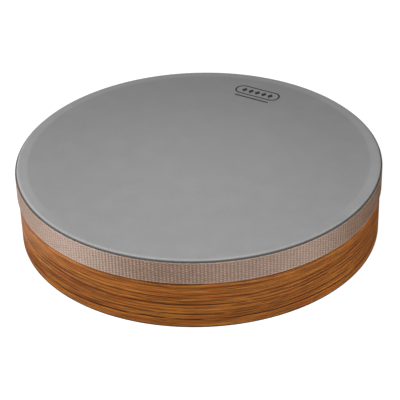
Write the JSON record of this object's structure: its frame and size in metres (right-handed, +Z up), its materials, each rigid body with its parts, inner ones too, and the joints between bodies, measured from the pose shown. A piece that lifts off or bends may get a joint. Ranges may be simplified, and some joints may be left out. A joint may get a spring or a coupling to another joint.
{
  "type": "frame drum",
  "caption": "Shallow round hand drum with a wood-faced laminated shell, a bonded grey film head over one side and a woven band round its rim; the other side is open.",
  "frame": {"origin": "centre of the open lower rim, on the surface that the drum stands on", "axes": "+Z up through the head, -Y the front, +X to the right"},
  "size_m": [0.3072, 0.3072, 0.0635],
  "materials": {
    "face_veneer": "satin lacquer over orange-brown veneer with dark streaks along the grain",
    "core_ply_odd": "sanded hardwood ply, grain running round the shell",
    "core_ply_even": "sanded hardwood ply, grain running across the shell, darker at its cut edge",
    "inner_ply": "thin satin sealer over plain pale wood",
    "head_film": "coated polyester film, matt warm grey with faint mottling, paler where it lies on the shell",
    "webbing": "flat woven beige tape with cross ribs and plain edges",
    "adhesive": "cured dark flexible adhesive"
  },
  "bodies": {
    "root": {"shell_face_veneer": "face_veneer", "shell_core_ply_1": "core_ply_odd", "shell_core_ply_2": "core_ply_even", "shell_core_ply_3": "core_ply_odd", "shell_core_ply_4": "core_ply_even", "shell_core_ply_5": "core_ply_odd", "shell_core_ply_6": "core_ply_even", "shell_core_ply_7": "core_ply_odd", "shell_inner_ply": "inner_ply", "skirt_adhesive": "adhesive", "head_film": "head_film", "webbing_adhesive": "adhesive", "rim_webbing": "webbing"}
  },
  "joints": []
}
